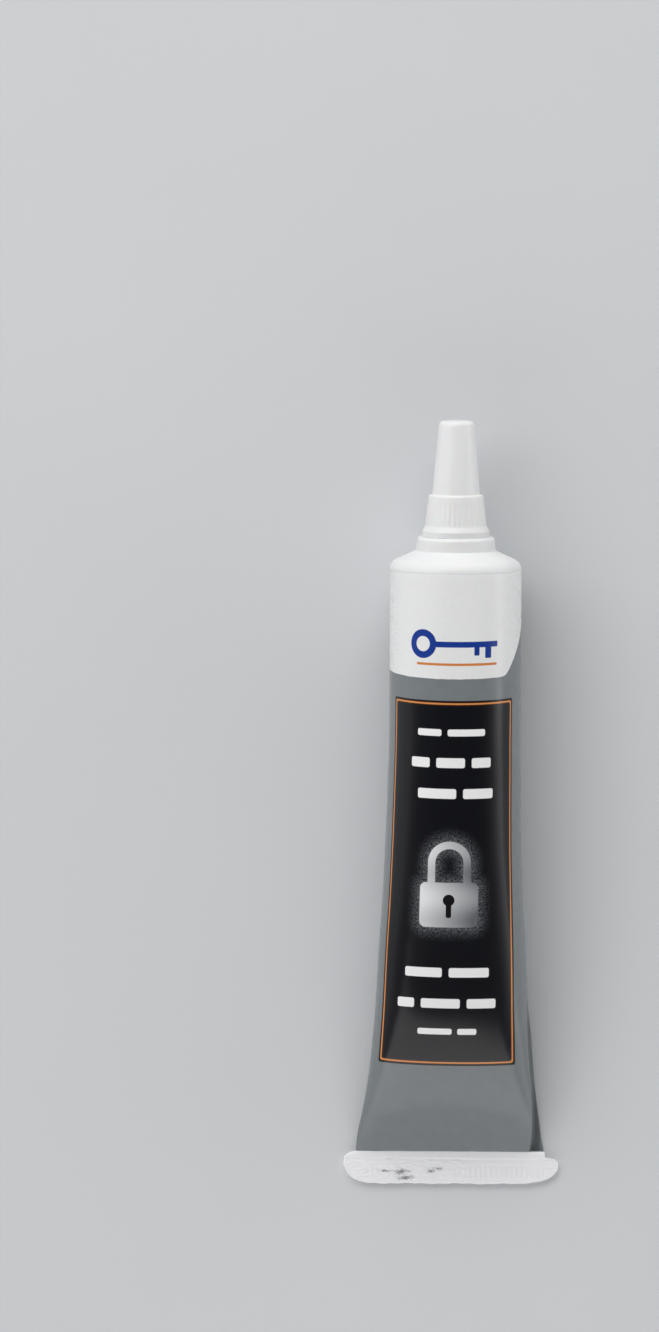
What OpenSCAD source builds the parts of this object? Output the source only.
// Squeeze tube for a dry powder lubricant, with a fine nozzle under a long screw cap.
// The tube lies on its back on a flat surface: X across, Y along it towards the cap, Z up.
// The origin is in the middle of its footprint, on the surface. All lengths are millimetres.

/* [Sleeve] */
// Outside diameter of the sleeve at the head
tube_d = 19.05; // [15:0.05:26]
// Thickness of the sleeve's wall
sleeve_wall = 0.5; // [0.3:0.05:0.8]
// Length of the sleeve from the head to the tail seal
sleeve_len = 85.8; // [60:0.1:130]

/* [Tail seal] */
// Length of the seal along the tube
seal_len = 4.8; // [3:0.1:8]
// Thickness of the seal, two walls pressed into one
seal_t = 0.9; // [0.6:0.05:1.4]
// How far each ear of the seal spreads past the flattened sleeve
ear_spread = 0.7; // [0.2:0.05:1.5]
// Distance from one bar pressed into the seal to the next
bar_pitch = 0.75; // [0.6:0.05:2]
// Width of a pressed bar
bar_w = 0.3; // [0.1:0.05:0.5]
// Depth of a pressed bar
bar_depth = 0.1; // [0.05:0.01:0.25]

/* [Head] */
// How far the ring that the cap closes on stands out past the cap
ring_ledge = 0.9; // [0.5:0.1:1.5]
// Height of the ring
ring_h = 2; // [1:0.1:3]
// Radius of the ring's upper edge
ring_edge_r = 0.5; // [0.2:0.05:0.8]
// Slope of the shoulder, in degrees
shoulder_slope = 25; // [15:1:40]
// Radius where the shoulder turns down into the sleeve
shoulder_r = 1.6; // [0.8:0.1:2.5]
// Thickness of the head's wall
head_wall = 1; // [0.7:0.05:1.3]
// Length of the head's skirt inside the sleeve
skirt_len = 3; // [2:0.1:6]
// Clearance between the skirt and the sleeve
skirt_gap = 0.05; // [0.04:0.01:0.15]

/* [Neck and nozzle] */
// Diameter of the neck between the threads
neck_d = 5.1; // [4.6:0.1:6]
// Wall of the neck
neck_wall = 0.7; // [0.5:0.05:0.9]
// Clearance between the neck and the step inside the cap, along the tube
neck_gap = 0.2; // [0.1:0.05:0.5]
// Clearance round the nozzle's foot inside the cap
nozzle_gap = 0.6; // [0.3:0.05:0.9]
// Clearance between the nozzle's end and the cap's roof
nozzle_end_gap = 1.2; // [0.4:0.1:2]
// Diameter of the nozzle's straight tip
tip_d = 2; // [1.8:0.05:2.4]
// Length of the straight tip
tip_len = 2.5; // [1.5:0.1:4]
// Diameter of the outlet
outlet_d = 0.9; // [0.5:0.05:1.2]
// Length of the outlet behind the tip
outlet_len = 2.5; // [1:0.1:4]

/* [Thread] */
// Number of turns on the neck
thread_turns = 2; // [1:0.25:2.5]
// Plain length of the neck at each end of its thread
thread_margin = 0.55; // [0.3:0.05:0.9]
// Height of the thread's ridge
thread_h = 0.3; // [0.15:0.05:0.35]
// Width of the ridge at its foot
thread_foot_w = 0.8; // [0.5:0.05:0.9]
// Width of the ridge at its crest
thread_crest_w = 0.3; // [0.1:0.05:0.4]
// Radial clearance between the crests of the cap and of the neck
thread_gap = 0.1; // [0.05:0.01:0.2]

/* [Cap] */
// How far the cap is drawn off the nozzle
cap_off = 0; // [0:0.5:40]
// Gap between the cap's mouth and the ring
cap_gap = 0.2; // [0.1:0.05:0.5]
// How far the bead round the mouth stands out past the collar
bead_lip = 0.4; // [0.2:0.05:0.8]
// Height of the bead's straight side
bead_h = 0.6; // [0.3:0.1:1]
// Height of the bevel from the bead up to the collar
bevel_h = 0.8; // [0.4:0.1:1]
// Wall of the collar at its top
collar_wall = 0.7; // [0.5:0.05:1]
// How much further out the collar stands at its foot
collar_flare = 0.5; // [0.2:0.05:0.8]
// Height of the fluted collar
collar_h = 4.5; // [4:0.1:6]
// Thickness of the step inside, below the collar's top
collar_roof = 1; // [0.7:0.1:1.5]
// Width of the ledge between the collar and the cone
collar_ledge = 0.5; // [0.4:0.05:0.6]
// Radius of the collar's upper edge
collar_edge_r = 0.3; // [0.1:0.05:0.35]
// Diameter of the cone at its tip
cone_tip_d = 5; // [4.6:0.1:5.6]
// Height of the cone
cone_h = 10.7; // [8:0.1:16]
// Radius of the tip's edge
cone_edge_r = 0.7; // [0.3:0.05:1]
// Thickness of the cone's wall and roof
cone_wall = 0.75; // [0.5:0.05:0.85]
// Number of flutes round the collar
flute_count = 36; // [12:1:40]
// Width of a flute
flute_w = 0.36; // [0.2:0.02:0.44]
// Depth of a flute
flute_depth = 0.12; // [0.05:0.01:0.18]
// Plain height of the collar below the flutes
flute_foot_margin = 0.1; // [0.05:0.05:0.5]
// Plain height of the collar above the flutes
flute_top_margin = 1; // [0.6:0.1:2]

/* [Filling] */
// Height of the powder bed above the surface that the tube lies on
powder_level = 14.8; // [6:0.1:15.5]
// Clearance between the powder and the walls
powder_gap = 0.12; // [0.05:0.01:0.3]

/* [Hidden] */

$fn = 96;
// Corners of a section of the sleeve, and of a section of the powder
sleeve_sides = 64;
powder_sides = 40;
// Steps in a turn of thread, and in a rounded edge
thread_steps = 24;
edge_steps = 6;
// One overrun for all cuts, and for the foot of a thread sunk in its wall
over = 0.2;

// Sections of the sleeve from the head to the seal, in shares:
// place along the sleeve, width and depth against the diameter, and squareness from 0 to 1.
// The girth stays the same, so the sleeve spreads as it flattens, and it is closed only at the end.
section_shares = [
    [0, 1, 1, 0],
    [0.27, 1, 1, 0],
    [0.36, 1.015, 0.985, 0],
    [0.44, 1.03, 0.965, 0.1],
    [0.53, 1.06, 0.925, 0.2],
    [0.59, 1.09, 0.885, 0.3],
    [0.64, 1.12, 0.845, 0.4],
    [0.74, 1.165, 0.757, 0.5],
    [0.81, 1.21, 0.656, 0.5],
    [0.87, 1.265, 0.525, 0.5],
    [0.92, 1.32, 0.375, 0.4],
    [0.96, 1.39, 0.22, 0.3],
    [0.985, 1.42, 0.113, 0.2],
];
// The stub that joins the last section to the seal: its width against the diameter,
// its thickness against the seal's, and how far it runs into the seal
stub_width_share = 1.43;
stub_depth_share = 0.7;
stub_len_share = 0.08;
// Right half of the seal's outline, from its upper edge to its lower: half width, place along it
seal_shares = [
    [0.876, 0],
    [0.88, 0.17],
    [0.955, 0.21],
    [1, 0.36],
    [0.99, 0.55],
    [0.955, 0.76],
    [0.905, 0.93],
    [0.84, 1],
];
// The field of pressed bars: its two ends across the seal, then along it
bar_start_share = 0.17;
bar_end_share = 0.94;
bar_low_share = 0.82;
bar_high_share = 0.32;

tube_r = tube_d / 2;
seal_half = PI * tube_d / 4 + ear_spread;
bar_count = floor((bar_end_share - bar_start_share) * seal_half / bar_pitch);

// Radii and heights of the cap, with heights counted from its mouth
neck_r = neck_d / 2;
thread_r = neck_r + thread_h;
cap_bore_r = thread_r + thread_gap + thread_h;
collar_top_r = cap_bore_r + collar_wall;
collar_foot_r = collar_top_r + collar_flare;
bead_r = collar_foot_r + bead_lip;
cone_foot_r = collar_top_r - collar_ledge;
cone_tip_r = cone_tip_d / 2;
collar_foot = bead_h + bevel_h;
collar_top = collar_foot + collar_h;
cap_h = collar_top + cone_h;
cap_bore_h = collar_top - collar_roof;
cone_in_foot_r = cone_foot_r - cone_wall;
cone_in_tip_r = cone_tip_r - cone_wall;
cone_in_top = cap_h - cone_wall;

// Radii and heights of the head, with heights counted from the sleeve's end
ring_r = bead_r + ring_ledge;
corner_rise = shoulder_r / tan(45 + shoulder_slope / 2);
shoulder_h = corner_rise + (tube_r - ring_r) * tan(shoulder_slope);
ring_top = shoulder_h + ring_h;
neck_h = cap_gap + cap_bore_h - neck_gap;
neck_top = ring_top + neck_h;
nozzle_foot_r = cone_in_foot_r - nozzle_gap;
nozzle_top = ring_top + cap_gap + cone_in_top - nozzle_end_gap;
neck_in_r = neck_r - neck_wall;
skirt_r = tube_r - sleeve_wall - skirt_gap;
skirt_in_r = skirt_r - head_wall;

// The neck's thread, and the cap's, which starts half a turn later between the neck's turns
thread_pitch = (neck_h - 2 * thread_margin - thread_foot_w) / thread_turns;
cap_turns = thread_turns - 0.5;
cap_thread_h = thread_margin + thread_pitch / 2 - cap_gap;

// Places along the tube
overall_len = seal_len + sleeve_len + ring_top + cap_gap + cap_h;
tail_y = -overall_len / 2;
seal_y = tail_y + seal_len;
head_y = seal_y + sleeve_len;
cap_y = head_y + ring_top + cap_gap;

// Points of an arc round a centre, from one angle to another
function arc(centre, r, from, to) = [
    for (i = [0 : edge_steps])
        let (a = from + (to - from) * i / edge_steps)
        centre + r * [cos(a), sin(a)]
];

// One ring of points: an ellipse that turns squarer, standing on the surface, inset by a wall
function section(y, width, depth, square, inset, sides, top) = [
    for (i = [0 : sides - 1])
        let (
            a = 360 * (i + 0.5) / sides,
            power = 1 / (1 + square / 4),
            x = (width / 2 - inset) * sign(cos(a)) * pow(abs(cos(a)), power),
            z = (depth / 2 - inset) * sign(sin(a)) * pow(abs(sin(a)), power)
        )
        [x, y, min(depth / 2 + z, top)]
];

// A ring of the sleeve's own section from a row of the shares
function sleeve_ring(row, inset, sides, top = tube_d) = section(
    head_y - row[0] * sleeve_len, row[1] * tube_d, row[2] * tube_d, row[3], inset, sides, top
);

// Triangles of a skin over rings of points, open at both ends
function skin(rings, sides, first, flip) = [
    for (r = [0 : rings - 2], i = [0 : sides - 1], half = [0, 1])
        let (
            a = first + r * sides + i,
            b = first + r * sides + (i + 1) % sides,
            tri = half == 0 ? [a, a + sides, b] : [b, a + sides, b + sides]
        )
        flip ? [tri[2], tri[1], tri[0]] : tri
];

// A ring's own points as one flat face
function lid(sides, first, flip) = [
    [for (i = [0 : sides - 1]) first + (flip ? i : sides - 1 - i)]
];

// Flat triangles between an outer and an inner ring in one plane
function rim(sides, outer, inner) = [
    for (i = [0 : sides - 1], half = [0, 1])
        let (j = (i + 1) % sides)
        half == 0 ? [outer + i, outer + j, inner + i] : [outer + j, inner + j, inner + i]
];

// A child drawn along +Z is laid along the tube's axis, from a place along the tube
module on_axis(y) {
    translate([0, y, tube_r])
        rotate([-90, 0, 0])
            children();
}

// The hollow sleeve: an outer skin that ends in a stub, an inner skin that ends before it
module sleeve_shell() {
    rows = len(section_shares);
    stub = section(
        seal_y - seal_len * stub_len_share, stub_width_share * tube_d, seal_t * stub_depth_share,
        1, 0, sleeve_sides, tube_d
    );
    raised_stub = [for (p = stub) p + [0, 0, seal_t * (1 - stub_depth_share) / 2]];
    outer = [for (row = section_shares) each sleeve_ring(row, 0, sleeve_sides)];
    inner = [for (row = section_shares) each sleeve_ring(row, sleeve_wall, sleeve_sides)];
    inner_first = (rows + 1) * sleeve_sides;
    polyhedron(
        points = concat(outer, raised_stub, inner),
        faces = concat(
            skin(rows + 1, sleeve_sides, 0, false),
            lid(sleeve_sides, rows * sleeve_sides, false),
            skin(rows, sleeve_sides, inner_first, true),
            lid(sleeve_sides, inner_first + (rows - 1) * sleeve_sides, true),
            rim(sleeve_sides, 0, inner_first)
        )
    );
}

// The flat seal with its ears and its row of pressed bars
module tail_seal() {
    right = [for (s = seal_shares) [s[0] * seal_half, seal_y - s[1] * seal_len]];
    left = [for (i = [len(right) - 1 : -1 : 0]) [-right[i][0], right[i][1]]];
    difference() {
        linear_extrude(height = seal_t)
            polygon(concat(right, left));
        for (i = [0 : bar_count - 1])
            translate([
                bar_start_share * seal_half + i * bar_pitch,
                seal_y - bar_low_share * seal_len,
                seal_t - bar_depth
            ])
                cube([bar_w, (bar_low_share - bar_high_share) * seal_len, bar_depth + over]);
    }
}

// A screw ridge round Z. Its foot is sunk into the wall, and it fades in and out of the wall.
module thread_ridge(wall_r, crest_r, turns) {
    steps = thread_steps * turns;
    side = sign(crest_r - wall_r);
    foot_r = wall_r - side * over;
    fade = thread_steps / 4;
    points = [
        for (i = [0 : steps])
            let (
                a = 360 * i / thread_steps,
                z = thread_pitch * i / thread_steps,
                rise = min(1, i / fade, (steps - i) / fade),
                low_r = wall_r - side * over / 2,
                r = low_r + (crest_r - low_r) * rise
            )
            each [
                [foot_r * cos(a), foot_r * sin(a), z],
                [r * cos(a), r * sin(a), z + (thread_foot_w - thread_crest_w) / 2],
                [r * cos(a), r * sin(a), z + (thread_foot_w + thread_crest_w) / 2],
                [foot_r * cos(a), foot_r * sin(a), z + thread_foot_w]
            ]
    ];
    polyhedron(
        points = points,
        faces = concat(
            skin(steps + 1, 4, 0, side > 0),
            lid(4, 0, side < 0),
            lid(4, steps * 4, side > 0)
        )
    );
}

// The printed sleeve, flattened and sealed at its tail
module sleeve() {
    color([0.45, 0.47, 0.48])
        union() {
            sleeve_shell();
            tail_seal();
        }
}

// The moulded head: skirt, shoulder, ring, threaded neck and nozzle in one piece
module tube_head() {
    inner_shoulder_h = shoulder_h - head_wall;
    color([0.89, 0.9, 0.9])
        on_axis(head_y)
            union() {
                rotate_extrude()
                    polygon(concat(
                        [[skirt_in_r, -skirt_len], [skirt_r, -skirt_len], [skirt_r, 0]],
                        arc([tube_r - shoulder_r, 0], shoulder_r, 0, 90 - shoulder_slope),
                        [[ring_r, shoulder_h]],
                        arc([ring_r - ring_edge_r, ring_top - ring_edge_r], ring_edge_r, 0, 90),
                        [
                            [neck_r, ring_top],
                            [neck_r, neck_top],
                            [nozzle_foot_r, neck_top],
                            [tip_d / 2, nozzle_top - tip_len],
                            [tip_d / 2, nozzle_top],
                            [outlet_d / 2, nozzle_top],
                            [outlet_d / 2, nozzle_top - outlet_len],
                            [neck_in_r, ring_top],
                            [neck_in_r, inner_shoulder_h],
                            [skirt_in_r, 0]
                        ]
                    ));
                translate([0, 0, ring_top + thread_margin])
                    thread_ridge(neck_r, thread_r, thread_turns);
            }
}

// The outside of the cap without its flutes
module cap_blank() {
    rotate_extrude()
        polygon(concat(
            [[0, 0], [bead_r, 0], [bead_r, bead_h], [collar_foot_r, collar_foot]],
            arc([collar_top_r - collar_edge_r, collar_top - collar_edge_r], collar_edge_r, 0, 90),
            [[cone_foot_r, collar_top]],
            arc([cone_tip_r - cone_edge_r, cap_h - cone_edge_r], cone_edge_r, 0, 90),
            [[0, cap_h]]
        ));
}

// The room inside the cap: a bore for the neck, then a cone for the nozzle
module cap_room() {
    rotate_extrude()
        polygon([
            [0, -over],
            [cap_bore_r, -over],
            [cap_bore_r, cap_bore_h],
            [cone_in_foot_r, cap_bore_h],
            [cone_in_tip_r, cone_in_top],
            [0, cone_in_top]
        ]);
}

// The fine flutes cut round the collar, which lean with its taper
module flutes() {
    taper = atan(collar_flare / collar_h);
    foot = collar_foot + flute_foot_margin;
    foot_r = collar_foot_r - flute_foot_margin * tan(taper) + flute_w / 2 - flute_depth;
    for (i = [0 : flute_count - 1])
        rotate([0, 0, 360 * i / flute_count])
            translate([foot_r, 0, foot])
                rotate([0, -taper, 0])
                    cylinder(d = flute_w, h = collar_h - flute_foot_margin - flute_top_margin, $fn = 24);
}

// The long cap: bead, fluted collar and cone outside, thread and room for the nozzle inside
module cap() {
    color([0.9, 0.91, 0.91])
        on_axis(cap_y + cap_off)
            union() {
                difference() {
                    cap_blank();
                    cap_room();
                    flutes();
                }
                translate([0, 0, cap_thread_h])
                    thread_ridge(cap_bore_r, cap_bore_r - thread_h, cap_turns);
            }
}

// The powder bed, settled against the back of the sleeve with a level top
module graphite_powder() {
    first = (skirt_len + powder_gap) / sleeve_len;
    rows = [for (row = section_shares) if (row[0] > first) row];
    start = [first, section_shares[0][1], section_shares[0][2], section_shares[0][3]];
    inset = sleeve_wall + powder_gap;
    count = len(rows) + 1;
    color([0.16, 0.17, 0.18])
        polyhedron(
            points = [
                for (row = concat([start], rows))
                    each sleeve_ring(row, inset, powder_sides, powder_level)
            ],
            faces = concat(
                skin(count, powder_sides, 0, false),
                lid(powder_sides, 0, true),
                lid(powder_sides, (count - 1) * powder_sides, false)
            )
        );
}

sleeve();
tube_head();
cap();
graphite_powder();
